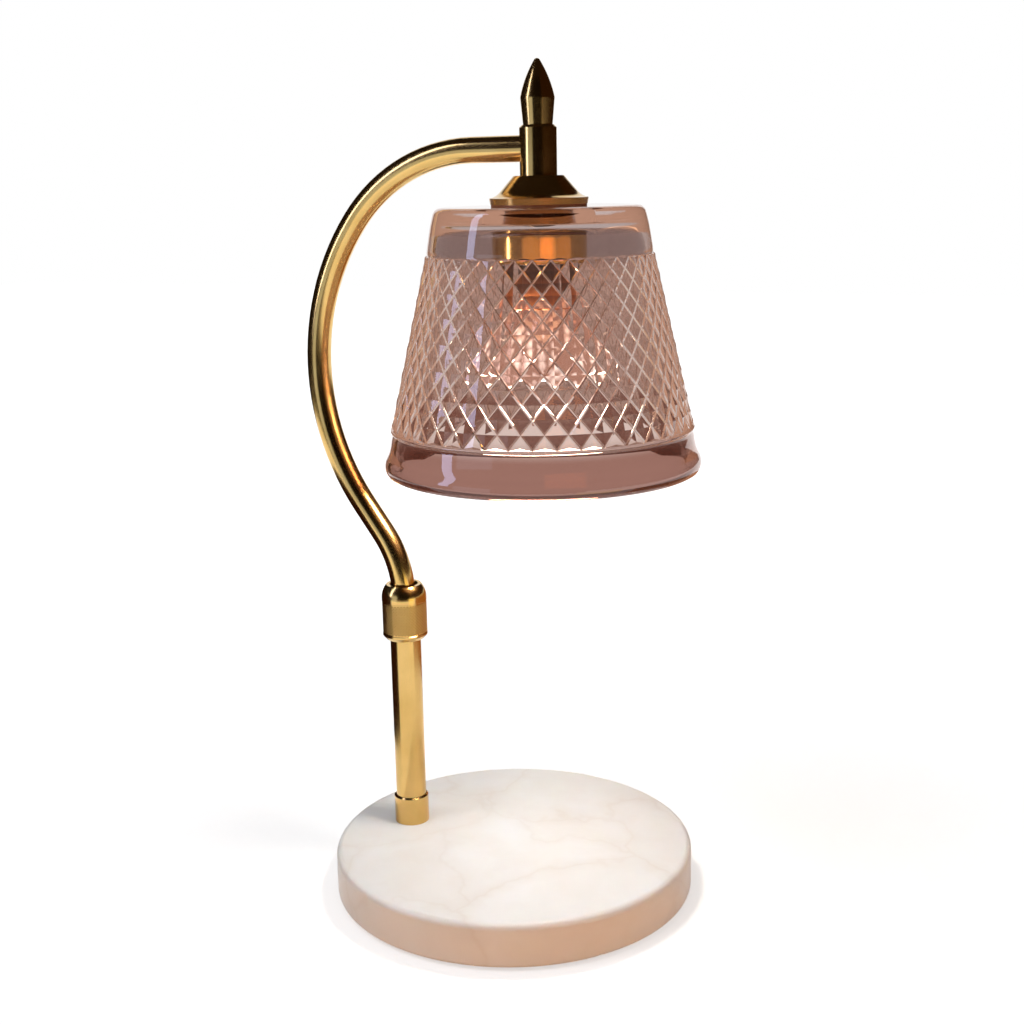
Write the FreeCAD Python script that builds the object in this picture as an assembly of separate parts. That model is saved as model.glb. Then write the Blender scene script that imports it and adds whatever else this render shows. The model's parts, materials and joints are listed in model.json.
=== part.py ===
import FreeCAD, Part
import math
import os

# Candle warmer lamp: a marble base with a brass post, a bent arm that slides and
# swivels in the post, and a glass shade that hangs over the candle with a
# reflector lamp inside it.
#
# Millimetres. The origin is the middle of the underside of the base, +Z is up, and
# +X runs from the post towards the lamp head. The arm lies in the plane y = 0.

Vector = FreeCAD.Vector
UP = Vector(0, 0, 1)

# Plan: where the post and the head stand
POST_X = -49.0
HEAD_X = 16.0

# Base
PAD_R = 70.0
PAD_T = 1.2
SLAB_R = 75.0
SLAB_T = 18.0
SLAB_TOP_ROUND = 2.5
SLAB_BOTTOM_ROUND = 1.5
SLAB_TOP = PAD_T + SLAB_T
RECESS_R = 15.0
RECESS_CEILING = SLAB_TOP - 5.5

# Supply lead and its inlet at the edge of the base
LEAD_R = 2.2
LEAD_BEND_R = 5.0
INLET_Z = 5.7
INLET_BORE_R = 2.7
GROMMET_R = 4.5
GROMMET_FLANGE_R = 5.4
GROMMET_FLANGE_T = 2.0
GROMMET_DEPTH = 9.0
CHANNEL_CLEARANCE = 0.1

# Threaded tube that holds the foot, with its washers and nut
NIPPLE_R = 5.0
NIPPLE_BORE_R = 3.9
THIN_NUT_T = 2.5
NUT_T = 3.0
NUT_FLATS = 14.0
WASHER_T = 1.0
BASE_WASHER_R = 12.0
LOCK_WASHER_R = 8.2
LOCK_WASHER_GAP = 1.5
NUT_END_GAP = 0.3

# Foot and post
FOOT_R = 7.4
FOOT_H = 12.3
FOOT_THREAD_H = 5.8
POST_R = 6.5
POST_BORE_R = 5.7
POST_TOP = 104.5

# Bent arm: the lengths and bends of its centre line, from the lower end up
ARM_R = 5.0
ARM_BORE_R = 4.2
ARM_LOW = 30.0
ARM_BEND_START = 120.6
ARM_BEND_1_R = 46.8
ARM_BEND_1_ANGLE = 35.93
ARM_MIDDLE_RUN = 14.9
ARM_BEND_2_R = 97.85
ARM_BEND_2_ANGLE = -73.43
ARM_BEND_3_R = 67.25
ARM_BEND_3_ANGLE = -(ARM_BEND_1_ANGLE + ARM_BEND_2_ANGLE + 90.0)

# Sliding guide on the lower end of the arm
LIFT = 50.0
RUNNING_GAP = 0.05
END_RING_T = 1.7
BUSH_GAP = 0.3
BUSH_H = 14.0
BEAD_H = 1.0
BEAD_R = 5.5
BUSH_LOW = ARM_LOW + END_RING_T + BUSH_GAP
BEAD_LOW = BUSH_LOW + BUSH_H + BUSH_GAP
STOP_GAP = 0.2

# Clamp at the top of the post: sleeve, collet, washer and collar
SLEEVE_R = 7.9
SLEEVE_BORE_R = 5.08
SLEEVE_LOW = BEAD_LOW + BEAD_H + LIFT + STOP_GAP
SLEEVE_TOP = 114.5
CONE_LOW = 110.0
CONE_TOP_R = 6.6
COLLET_BORE_R = 5.1
COLLET_LOW = 110.6
COLLET_TOP = 116.0
COLLET_HEAD_R = 7.0
COLLET_GAP = 0.05
COLLET_SLIT = 1.0
THRUST_LOW = COLLET_TOP + 0.05
THRUST_R = 7.6
THRUST_BORE_R = 5.3
COLLAR_LOW = 102.8
COLLAR_TOP = 126.5
COLLAR_R = 9.5
COLLAR_BAND_R = 9.3
COLLAR_BAND_LOW = 105.4
COLLAR_BAND_TOP = 119.2
COLLAR_SHOULDER_R = 7.4
COLLAR_HOLE_R = 6.0
COLLAR_BEVEL = 1.6

# Head tube and finial
HEAD_LOW = 293.4
HEAD_TOP = 312.0
HEAD_R = 7.1
HEAD_BORE_R = 5.8
HEAD_THREAD_H = 6.5
HEAD_CHAMFER = 1.0
PLUG_H = 3.4
STEM_R = 2.5
STEM_H = 4.0
FINIAL_FOOT_R = 5.6
FINIAL_WIDEST_R = 6.5
FINIAL_WIDEST_Z = 322.0
FINIAL_TOP = 336.0
FINIAL_SIDE = (4.35, 329.0)
FINIAL_TIP_R = 1.2
FINIAL_TIP_H = 0.8

# Cap over the shade
CAP_TOP_R = 10.0
CAP_WAIST_R = 14.8
CAP_WAIST_Z = 287.5
CAP_RIM_R = 19.0
CAP_RIM_FOOT_R = 18.55
CAP_RIM_TOP = 285.2
CAP_RIM_LOW = 282.8
CAP_WALL = 1.0

# Stack on the head nipple, from the cap down
HEAD_NIPPLE_BORE_R = 3.5
HEAD_NIPPLE_GRIP = 6.0
SPACER_R = 7.0
SPACER_H = 2.9
SHELL_PLATE_T = 1.2
BRACKET_T = 1.0
CAP_NUT_LOW = HEAD_LOW - CAP_WALL - NUT_T
SHELL_TOP = CAP_NUT_LOW - SPACER_H
BRACKET_TOP = SHELL_TOP - SHELL_PLATE_T
HOLDER_WASHER_LOW = BRACKET_TOP - BRACKET_T - WASHER_T
HOLDER_NUT_LOW = HOLDER_WASHER_LOW - THIN_NUT_T
HEAD_NIPPLE_LOW = HOLDER_NUT_LOW - 0.5

# Lamp holder
SHELL_R = 13.5
SHELL_BORE_R = 12.3
SHELL_LOW = 262.6
INSERT_R = 12.2
INSERT_LOW = SHELL_LOW
INSERT_TOP = 275.0
SLOT_RADIUS = 5.0
SLOT_SWEEP = 40.0
NECK_SLOT_HALF = 1.7
CHAMBER_HALF = 2.75
CHAMBER_LOW = 266.2
CHAMBER_TOP = 272.4
ENTRY_R = 2.8
CONTACT_LOW = 270.1
CONTACT_T = 0.8
CONTACT_HALF = 2.2
CONTACT_STEM_R = 0.9
BRACKET_HALF_WIDTH = 7.0
LEG_OUTER = 11.4
FOOT_INNER = 6.4
SCREW_Y = 8.4
SCREW_R = 1.5
SCREW_HEAD_R = 2.75
SCREW_HEAD_H = 2.4
SCREW_RECESS_R = 3.0
SCREW_RECESS_H = 2.8
CORE_R = 0.8
CORE_OFFSET = 1.0

# Shade and what holds it
GLASS_TOP = 282.1
PLATE_LOW = 276.0
GLASS_HOLE_R = 14.5
GASKET_T = 0.65
CAP_GASKET_R = 18.3
CAP_GASKET_BORE_R = 15.5
RING_GASKET_R = 18.0
RING_GASKET_BORE_R = 14.7
RING_R = 18.2
RING_SKIRT_WALL = 1.5
RING_THREAD_WALL = 1.45
RING_LOW = 263.0
RING_TOP = 275.0
RING_THREAD_LOW = 266.0
RING_WEB_T = 1.6

# Outline of the shade's outside and inside, as radius and height
SHADE_SHOULDER = (40.6, 280.0)
SHADE_NECK = (41.7, 275.4)
SHADE_STEP_TOP = (43.3, 264.8)
SHADE_STEP_LOW = (44.0, 262.9)
SHADE_BAND_TOP = (58.8, 198.0)
SHADE_BAND_NOTCH = (58.9, 196.8)
SHADE_BAND_MIDDLE = (60.1, 190.0)
SHADE_FLARE = (62.2, 185.0)
SHADE_RIM_OUTER = (62.2, 182.4)
SHADE_RIM_LOW = (60.2, 180.3)
SHADE_RIM_INNER = (58.3, 182.4)
SHADE_INSIDE_TOP = (40.0, 270.0)
SHADE_INSIDE_CORNER = (35.0, PLATE_LOW)
SHADE_TOP_EDGE_R = 38.4

# Reflector lamp, 50 mm across
LAMP_FRONT = 215.5
LAMP_R = 25.0
LAMP_REAR = 262.2
LENS_T = 2.0
LENS_CROWN = 1.2
REFLECTOR_LOW = LAMP_FRONT + LENS_T
REFLECTOR_WALL = 1.3
REFLECTOR_MIDDLE = (18.5, 230.0)
REFLECTOR_NECK = (11.4, 245.0)
LAMP_BASE_R = 11.0
LAMP_BASE_LOW = 245.0
LAMP_BASE_FLAT = 8.5
PIN_NECK_R = 1.4
PIN_NECK_TOP = 266.6
PIN_HEAD_R = 2.45
PIN_HEAD_TOP = 269.6
CAPSULE_R = 4.5
CAPSULE_LOW = 224.0
CAPSULE_WALL = 0.8
FILAMENT_R = 0.9
FILAMENT_LOW = 230.0
FILAMENT_TOP = 237.0
FILAMENT_WIRE_R = 0.25
FILAMENT_TURNS = 6

# Room kept between a piece and the piece around it in the same joint
INNER_GAP = 0.3


def cylinder(radius, low, high, x=0.0, y=0.0):
    """Upright round bar."""
    return Part.makeCylinder(radius, high - low, Vector(x, y, low))


def tube(radius, bore, low, high, x=0.0):
    """Upright round tube."""
    return cylinder(radius, low, high, x).cut(cylinder(bore, low - 1.0, high + 1.0, x))


def point(x, pair):
    """Point of an outline: pair is its radius from the upright axis at x, and its height."""
    return Vector(x + pair[0], 0.0, pair[1])


def turned(x, outline):
    """Solid of revolution about the upright axis at x.

    The outline is a closed list of (radius, height) corners. A corner written as
    (through, corner) is reached by an arc that passes through the first pair.
    """
    edges = []
    here = point(x, outline[0])
    for item in list(outline[1:]) + [outline[0]]:
        if isinstance(item[0], tuple):
            there = point(x, item[1])
            edges.append(Part.Arc(here, point(x, item[0]), there).toShape())
        else:
            there = point(x, item)
            edges.append(Part.LineSegment(here, there).toShape())
        here = there
    return Part.Face(Part.Wire(edges)).revolve(Vector(x, 0, 0), UP, 360)


def dome(radius, edge, tip):
    """Arc from a round edge to its tip on the axis: the point halfway along it, and the tip."""
    side = 1.0 if tip > edge else -1.0
    height = abs(tip - edge)
    sphere_r = (radius ** 2 + height ** 2) / (2 * height)
    half_angle = math.asin(radius / sphere_r) / 2
    middle = (sphere_r * math.sin(half_angle), tip - side * sphere_r * (1 - math.cos(half_angle)))
    return (middle, (0, tip))


def hexagon(flats, bore, low, high, x=0.0):
    """Hexagonal nut with a round hole, and its corners turned off."""
    corner = flats / math.sqrt(3)
    corners = []
    for index in range(7):
        angle = math.radians(60 * index)
        corners.append(Vector(x + corner * math.cos(angle), corner * math.sin(angle), low))
    block = Part.Face(Part.makePolygon(corners)).extrude(Vector(0, 0, high - low))
    height = high - low
    cone = Part.makeCone(corner, corner + height, height, Vector(x, 0, low))
    other = Part.makeCone(corner + height, corner, height, Vector(x, 0, low))
    return block.common(cone).common(other).cut(cylinder(bore, low - 1, high + 1, x))


def split_washer(radius, bore, low, x):
    """Spring washer: a flat ring with a slit across one side."""
    ring = tube(radius, bore, low, low + WASHER_T, x)
    slit = Part.makeBox(radius, LOCK_WASHER_GAP, 2 * WASHER_T,
                        Vector(x, -LOCK_WASHER_GAP / 2, low - WASHER_T / 2))
    return ring.cut(slit)


class Route:
    """Path in the plane y = 0, drawn like a pen with a place and a heading in degrees from +X."""

    def __init__(self, x, z, heading):
        self.place = Vector(x, 0, z)
        self.heading = heading
        self.steps = []

    def direction(self):
        angle = math.radians(self.heading)
        return Vector(math.cos(angle), 0, math.sin(angle))

    def left(self):
        angle = math.radians(self.heading + 90)
        return Vector(math.cos(angle), 0, math.sin(angle))

    def straight(self, length):
        self.steps.append((self.place, self.direction(), None, length))
        self.place = self.place + self.direction() * length
        return self

    def bend(self, radius, angle):
        """Turn left by a positive angle and right by a negative one."""
        side = 1.0 if angle > 0 else -1.0
        centre = self.place + self.left() * (side * radius)
        self.steps.append((self.place, self.direction(), centre, angle))
        self.heading += angle
        self.place = centre - self.left() * (side * radius)
        return self

    def rod(self, radius):
        """Round bar along the whole path."""
        pieces = []
        for place, direction, centre, amount in self.steps:
            section = Part.Face(Part.Wire(Part.makeCircle(radius, place, direction)))
            if centre is None:
                pieces.append(section.extrude(direction * amount))
            else:
                pieces.append(section.revolve(centre, Vector(0, -1, 0), amount))
        bar = pieces[0]
        for piece in pieces[1:]:
            bar = bar.fuse(piece)
        return bar.removeSplitter()


def arm_route(low, into_head):
    """Centre line of the arm from a height on the post's axis to a depth past the head's axis."""
    route = Route(POST_X, low, 90.0)
    route.straight(ARM_BEND_START - low)
    route.bend(ARM_BEND_1_R, ARM_BEND_1_ANGLE)
    route.straight(ARM_MIDDLE_RUN)
    route.bend(ARM_BEND_2_R, ARM_BEND_2_ANGLE)
    route.bend(ARM_BEND_3_R, ARM_BEND_3_ANGLE)
    route.straight(HEAD_X + into_head - route.place.x)
    return route


ARM_TOP_Z = arm_route(ARM_LOW, 0.0).place.z


def marble_base():
    slab = cylinder(SLAB_R, PAD_T, SLAB_TOP)
    top_edge = [edge for edge in slab.Edges if edge.BoundBox.ZMin > SLAB_TOP - 0.1]
    slab = slab.makeFillet(SLAB_TOP_ROUND, top_edge)
    low_edge = [edge for edge in slab.Edges if edge.BoundBox.ZMax < PAD_T + 0.1]
    slab = slab.makeFillet(SLAB_BOTTOM_ROUND, low_edge)
    recess = cylinder(RECESS_R, PAD_T - 1.0, RECESS_CEILING, POST_X)
    hole = cylinder(NIPPLE_R + INNER_GAP, PAD_T, SLAB_TOP + 1.0, POST_X)
    half = GROMMET_R + CHANNEL_CLEARANCE
    length = SLAB_R + POST_X + 5.0
    channel = Part.makeCylinder(half, length, Vector(-SLAB_R - 5.0, 0, INLET_Z), Vector(1, 0, 0))
    mouth = Part.makeBox(length, 2 * half, INLET_Z, Vector(-SLAB_R - 5.0, -half, 0))
    return slab.cut(recess).cut(hole).cut(channel.fuse(mouth))


def base_pad():
    pad = cylinder(PAD_R, 0, PAD_T)
    low_edge = [edge for edge in pad.Edges if edge.BoundBox.ZMax < 0.1]
    return pad.makeChamfer(0.3, low_edge)


def cord_grommet():
    along = Vector(1, 0, 0)
    body = Part.makeCylinder(GROMMET_R, GROMMET_DEPTH, Vector(-SLAB_R, 0, INLET_Z), along)
    flange = Part.makeCylinder(GROMMET_FLANGE_R, GROMMET_FLANGE_T,
                               Vector(-SLAB_R - GROMMET_FLANGE_T, 0, INLET_Z), along)
    face = -SLAB_R - GROMMET_FLANGE_T
    rim = [edge for edge in flange.Edges if edge.BoundBox.XMax < face + 0.1]
    flange = flange.makeFillet(0.8, rim)
    bore = Part.makeCylinder(INLET_BORE_R, SLAB_R, Vector(face - 1.0, 0, INLET_Z), along)
    return body.fuse(flange).removeSplitter().cut(bore)


def base_lead():
    start = -SLAB_R + GROMMET_DEPTH + 1.0
    route = Route(start, INLET_Z, 0.0)
    route.straight(POST_X - LEAD_BEND_R - start)
    route.bend(LEAD_BEND_R, 90.0)
    route.straight(SLAB_TOP + FOOT_THREAD_H + 1.5 - route.place.z)
    return route.rod(LEAD_R)


def base_washer():
    return tube(BASE_WASHER_R, NIPPLE_R + INNER_GAP, RECESS_CEILING - WASHER_T, RECESS_CEILING, POST_X)


def base_lock_washer():
    return split_washer(LOCK_WASHER_R, NIPPLE_R + INNER_GAP, RECESS_CEILING - 2 * WASHER_T, POST_X)


def base_nut():
    top = RECESS_CEILING - 2 * WASHER_T
    return hexagon(NUT_FLATS, NIPPLE_R, top - THIN_NUT_T, top, POST_X)


def post_nipple():
    low = RECESS_CEILING - 2 * WASHER_T - THIN_NUT_T - NUT_END_GAP
    return tube(NIPPLE_R, NIPPLE_BORE_R, low, SLAB_TOP + FOOT_THREAD_H, POST_X)


def foot_ferrule():
    low = SLAB_TOP
    seat = SLAB_TOP + FOOT_THREAD_H
    top = SLAB_TOP + FOOT_H
    edge = 0.6
    return turned(POST_X, [(NIPPLE_R, low), (FOOT_R, low), (FOOT_R, top - edge),
                           (FOOT_R - edge, top), (POST_R, top), (POST_R, seat), (NIPPLE_R, seat)])


def post_tube():
    return tube(POST_R, POST_BORE_R, SLAB_TOP + FOOT_THREAD_H, POST_TOP, POST_X)


def collet_sleeve():
    return turned(POST_X, [(SLEEVE_BORE_R, SLEEVE_LOW), (POST_BORE_R, SLEEVE_LOW),
                           (POST_BORE_R, POST_TOP), (SLEEVE_R, POST_TOP),
                           (SLEEVE_R, SLEEVE_TOP), (CONE_TOP_R, SLEEVE_TOP),
                           (SLEEVE_BORE_R, CONE_LOW)])


def collet():
    slope = (CONE_TOP_R - SLEEVE_BORE_R) / (SLEEVE_TOP - CONE_LOW)
    nose_r = SLEEVE_BORE_R + slope * (COLLET_LOW - CONE_LOW) - COLLET_GAP
    seat_r = CONE_TOP_R - COLLET_GAP
    head_low = SLEEVE_TOP + 0.1
    ring = turned(POST_X, [(COLLET_BORE_R, COLLET_LOW), (nose_r, COLLET_LOW), (seat_r, SLEEVE_TOP),
                           (seat_r, head_low), (COLLET_HEAD_R, head_low),
                           (COLLET_HEAD_R, COLLET_TOP), (COLLET_BORE_R, COLLET_TOP)])
    slit = Part.makeBox(2 * COLLET_HEAD_R, COLLET_SLIT, 10.0,
                        Vector(POST_X, -COLLET_SLIT / 2, COLLET_LOW - 1.0))
    return ring.cut(slit)


def thrust_washer():
    return tube(THRUST_R, THRUST_BORE_R, THRUST_LOW, THRUST_LOW + WASHER_T, POST_X)


def clamp_collar():
    thread_r = SLEEVE_R + RUNNING_GAP
    ceiling = THRUST_LOW + WASHER_T + 0.05
    bevel_r = COLLAR_R - COLLAR_BEVEL
    lip = COLLAR_R - COLLAR_BAND_R
    shoulder_start = COLLAR_BAND_TOP + 1.8
    bulge = (COLLAR_R - 0.45, COLLAR_TOP - 3.0)
    return turned(POST_X, [(thread_r, COLLAR_LOW), (bevel_r + 0.2, COLLAR_LOW),
                           (COLLAR_R, COLLAR_LOW + COLLAR_BEVEL),
                           (COLLAR_R, COLLAR_BAND_LOW - lip), (COLLAR_BAND_R, COLLAR_BAND_LOW),
                           (COLLAR_BAND_R, COLLAR_BAND_TOP), (COLLAR_R, COLLAR_BAND_TOP + lip),
                           (COLLAR_R, shoulder_start),
                           (bulge, (COLLAR_SHOULDER_R, COLLAR_TOP)),
                           (COLLAR_HOLE_R, COLLAR_TOP), (COLLAR_HOLE_R, ceiling),
                           (thread_r, ceiling)])


def slide_bush():
    return tube(POST_BORE_R - RUNNING_GAP, ARM_R + RUNNING_GAP, BUSH_LOW, BUSH_LOW + BUSH_H, POST_X)


def arm_end_ring():
    return tube(BEAD_R, ARM_R, ARM_LOW, ARM_LOW + END_RING_T, POST_X)


def arm_tube():
    bar = arm_route(ARM_LOW, -1.0).rod(ARM_R)
    bead = turned(POST_X, [(ARM_R - 0.4, BEAD_LOW), (ARM_R, BEAD_LOW),
                           ((BEAD_R, BEAD_LOW + BEAD_H / 2), (ARM_R, BEAD_LOW + BEAD_H)),
                           (ARM_R - 0.4, BEAD_LOW + BEAD_H)])
    bore = arm_route(ARM_LOW, 0.0).rod(ARM_BORE_R)
    opening = cylinder(ARM_BORE_R, ARM_LOW - 2.0, ARM_LOW + 2.0, POST_X)
    head_bore = cylinder(HEAD_BORE_R, HEAD_LOW, HEAD_TOP, HEAD_X)
    return bar.fuse(bead).removeSplitter().cut(bore).cut(opening).cut(head_bore)


def arm_lead():
    """Lead inside the arm, over the top and down through the head to the lamp holder."""
    route = arm_route(ARM_LOW + 1.0, -LEAD_BEND_R)
    route.bend(LEAD_BEND_R, -90.0)
    route.straight(route.place.z - HEAD_NIPPLE_LOW)
    return route.rod(LEAD_R)


def head_tube():
    thread_top = HEAD_LOW + HEAD_THREAD_H
    body = turned(HEAD_X, [(NIPPLE_R, HEAD_LOW), (HEAD_R, HEAD_LOW),
                           (HEAD_R, HEAD_TOP - HEAD_CHAMFER), (HEAD_R - HEAD_CHAMFER, HEAD_TOP),
                           (HEAD_BORE_R, HEAD_TOP), (HEAD_BORE_R, thread_top),
                           (NIPPLE_R, thread_top)])
    arm = Part.makeCylinder(ARM_R, HEAD_R + 5.0, Vector(HEAD_X - HEAD_R - 5.0, 0, ARM_TOP_Z),
                            Vector(1, 0, 0))
    return body.cut(arm)


def head_plug():
    return tube(HEAD_BORE_R, STEM_R, HEAD_TOP - PLUG_H, HEAD_TOP, HEAD_X)


def finial():
    shoulder = (FINIAL_SIDE, (FINIAL_TIP_R, FINIAL_TOP - FINIAL_TIP_H))
    return turned(HEAD_X, [(0, HEAD_TOP - STEM_H), (STEM_R, HEAD_TOP - STEM_H), (STEM_R, HEAD_TOP),
                           (FINIAL_FOOT_R, HEAD_TOP), (FINIAL_WIDEST_R, FINIAL_WIDEST_Z - 0.4),
                           (FINIAL_WIDEST_R, FINIAL_WIDEST_Z), shoulder,
                           dome(FINIAL_TIP_R, FINIAL_TOP - FINIAL_TIP_H, FINIAL_TOP)])


def cap():
    inner_top = HEAD_LOW - CAP_WALL
    inner_rim = CAP_RIM_FOOT_R - CAP_WALL
    edge = 0.4
    flare = (CAP_WAIST_R + 1.9, CAP_RIM_TOP + 0.75)
    inner_flare = (flare[0] - 0.8, flare[1] - 0.9)
    return turned(HEAD_X, [(NIPPLE_R, HEAD_LOW), (CAP_TOP_R - edge, HEAD_LOW),
                           (CAP_TOP_R, HEAD_LOW - edge), (CAP_WAIST_R, CAP_WAIST_Z),
                           (flare, (CAP_RIM_R, CAP_RIM_TOP)), (CAP_RIM_FOOT_R, CAP_RIM_LOW),
                           (inner_rim, CAP_RIM_LOW), (inner_rim, CAP_RIM_TOP - 0.6),
                           (inner_flare, (CAP_WAIST_R - 0.9, CAP_WAIST_Z - 0.7)),
                           (CAP_TOP_R - 0.8, inner_top), (NIPPLE_R, inner_top)])


def head_nipple():
    return tube(NIPPLE_R, HEAD_NIPPLE_BORE_R, HEAD_NIPPLE_LOW, HEAD_LOW + HEAD_NIPPLE_GRIP, HEAD_X)


def cap_nut():
    return hexagon(NUT_FLATS, NIPPLE_R, CAP_NUT_LOW, CAP_NUT_LOW + NUT_T, HEAD_X)


def holder_spacer():
    return tube(SPACER_R, NIPPLE_R, SHELL_TOP, SHELL_TOP + SPACER_H, HEAD_X)


def holder_shell():
    return turned(HEAD_X, [(NIPPLE_R, SHELL_TOP), (SHELL_R - 0.8, SHELL_TOP), (SHELL_R, SHELL_TOP - 0.8),
                           (SHELL_R, SHELL_LOW), (SHELL_BORE_R, SHELL_LOW),
                           (SHELL_BORE_R, BRACKET_TOP), (NIPPLE_R, BRACKET_TOP)])


def holder_bracket():
    """Bent strip: a top plate on the nipple and two legs that carry the ceramic insert."""
    width = 2 * BRACKET_HALF_WIDTH
    left = HEAD_X - BRACKET_HALF_WIDTH
    plate_low = BRACKET_TOP - BRACKET_T
    strip = Part.makeBox(width, 2 * LEG_OUTER, BRACKET_T, Vector(left, -LEG_OUTER, plate_low))
    for side in (-1, 1):
        leg_y = side * LEG_OUTER - (BRACKET_T if side > 0 else 0)
        leg = Part.makeBox(width, BRACKET_T, plate_low - INSERT_TOP, Vector(left, leg_y, INSERT_TOP))
        foot_y = FOOT_INNER if side > 0 else -LEG_OUTER
        foot = Part.makeBox(width, LEG_OUTER - FOOT_INNER, BRACKET_T, Vector(left, foot_y, INSERT_TOP))
        strip = strip.fuse(leg).fuse(foot)
        strip = strip.cut(cylinder(SCREW_R, INSERT_TOP - 1, INSERT_TOP + 3, HEAD_X, side * SCREW_Y))
    strip = strip.cut(cylinder(NIPPLE_R, plate_low - 1, BRACKET_TOP + 1, HEAD_X))
    return strip.removeSplitter().common(cylinder(SHELL_BORE_R - 0.1, INSERT_TOP, BRACKET_TOP, HEAD_X))


def holder_lock_washer():
    return split_washer(LOCK_WASHER_R, NIPPLE_R, HOLDER_WASHER_LOW, HEAD_X)


def holder_nut():
    return hexagon(NUT_FLATS, NIPPLE_R, HOLDER_NUT_LOW, HOLDER_NUT_LOW + THIN_NUT_T, HEAD_X)


def arc_bar(half, start, sweep, low, high):
    """Curved bar around the head's axis, with round ends."""
    axis = Vector(HEAD_X, 0, 0)
    corners = [Vector(HEAD_X + SLOT_RADIUS - half, 0, low), Vector(HEAD_X + SLOT_RADIUS + half, 0, low),
               Vector(HEAD_X + SLOT_RADIUS + half, 0, high), Vector(HEAD_X + SLOT_RADIUS - half, 0, high)]
    bar = Part.Face(Part.makePolygon(corners + corners[:1])).revolve(axis, UP, sweep)
    bar.rotate(axis, UP, start)
    for angle in (start, start + sweep):
        turn = math.radians(angle)
        bar = bar.fuse(cylinder(half, low, high, HEAD_X + SLOT_RADIUS * math.cos(turn),
                                SLOT_RADIUS * math.sin(turn)))
    return bar


def socket_insert():
    """Ceramic socket: two curved slots, wide at the end where the pins go in."""
    body = cylinder(INSERT_R, INSERT_LOW, INSERT_TOP, HEAD_X)
    for side in (0, 180):
        body = body.cut(arc_bar(NECK_SLOT_HALF, side, SLOT_SWEEP, INSERT_LOW - 1, CHAMBER_LOW + 0.5))
        body = body.cut(arc_bar(CHAMBER_HALF, side, SLOT_SWEEP, CHAMBER_LOW, CHAMBER_TOP))
        turn = math.radians(side + SLOT_SWEEP)
        entry_x = HEAD_X + SLOT_RADIUS * math.cos(turn)
        entry_y = SLOT_RADIUS * math.sin(turn)
        body = body.cut(cylinder(ENTRY_R, INSERT_LOW - 1, CHAMBER_LOW + 0.5, entry_x, entry_y))
        stem_x = HEAD_X + SLOT_RADIUS * math.cos(math.radians(side))
        body = body.cut(cylinder(CONTACT_STEM_R, CHAMBER_TOP - 1, INSERT_TOP + 1, stem_x, 0))
    for side in (-1, 1):
        screw_y = side * SCREW_Y
        body = body.cut(cylinder(SCREW_R + 0.1, INSERT_LOW - 1, INSERT_TOP + 1, HEAD_X, screw_y))
        body = body.cut(cylinder(SCREW_RECESS_R, INSERT_LOW - 1, INSERT_LOW + SCREW_RECESS_H, HEAD_X, screw_y))
    return body


def socket_screws():
    screws = []
    for side in (-1, 1):
        seat = INSERT_LOW + SCREW_RECESS_H
        shank = cylinder(SCREW_R, seat - 0.5, INSERT_TOP + 2.0, HEAD_X, side * SCREW_Y)
        head = cylinder(SCREW_HEAD_R, seat - SCREW_HEAD_H, seat, HEAD_X, side * SCREW_Y)
        slot = Part.makeBox(2 * SCREW_HEAD_R, 0.7, 1.0,
                            Vector(HEAD_X - SCREW_HEAD_R, side * SCREW_Y - 0.35, seat - SCREW_HEAD_H - 0.2))
        screws.append(shank.fuse(head).removeSplitter().cut(slot))
    return Part.makeCompound(screws)


def socket_contacts():
    """Two curved contact strips over the pin heads, each with a stem that a wire joins."""
    contacts = []
    for side in (0, 180):
        strip = arc_bar(CONTACT_HALF, side, SLOT_SWEEP / 2, CONTACT_LOW, CONTACT_LOW + CONTACT_T)
        stem_x = HEAD_X + SLOT_RADIUS * math.cos(math.radians(side))
        stem = cylinder(CONTACT_STEM_R, CONTACT_LOW + CONTACT_T / 2, INSERT_TOP + 0.8, stem_x, 0)
        contacts.append(strip.fuse(stem).removeSplitter())
    return Part.makeCompound(contacts)


def lead_cores():
    """Two insulated cores from the end of the lead to the contact stems."""
    cores = []
    top = HEAD_NIPPLE_LOW
    low = INSERT_TOP + 0.8
    for side in (-1, 1):
        start = Vector(HEAD_X + side * CORE_OFFSET, 0, top)
        knee = Vector(HEAD_X + side * CORE_OFFSET, 0, top - 1.2)
        end = Vector(HEAD_X + side * SLOT_RADIUS, 0, low + 0.8)
        drop = Vector(HEAD_X + side * SLOT_RADIUS, 0, low)
        core = None
        for first, last in ((start, knee), (knee, end), (end, drop)):
            run = Part.makeCylinder(CORE_R, (last - first).Length, first, last - first)
            core = run if core is None else core.fuse(run).fuse(Part.makeSphere(CORE_R, first))
        cores.append(core.removeSplitter())
    return Part.makeCompound(cores)


def cap_gasket():
    return tube(CAP_GASKET_R, CAP_GASKET_BORE_R, CAP_RIM_LOW - GASKET_T, CAP_RIM_LOW, HEAD_X)


def ring_gasket():
    return tube(RING_GASKET_R, RING_GASKET_BORE_R, PLATE_LOW - GASKET_T, PLATE_LOW, HEAD_X)


def shade_ring():
    """Screw ring: a threaded tube inside a smooth skirt, joined by a flat web at the top."""
    thread_r = SHELL_R + RUNNING_GAP
    inner = thread_r + RING_THREAD_WALL
    skirt = RING_R - RING_SKIRT_WALL
    web_low = RING_TOP - RING_WEB_T
    edge = 0.5
    return turned(HEAD_X, [(thread_r, RING_THREAD_LOW), (inner, RING_THREAD_LOW), (inner, web_low),
                           (skirt, web_low), (skirt, RING_LOW), (RING_R - edge, RING_LOW),
                           (RING_R, RING_LOW + edge), (RING_R, RING_TOP - edge),
                           (RING_R - edge, RING_TOP), (thread_r, RING_TOP)])


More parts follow.
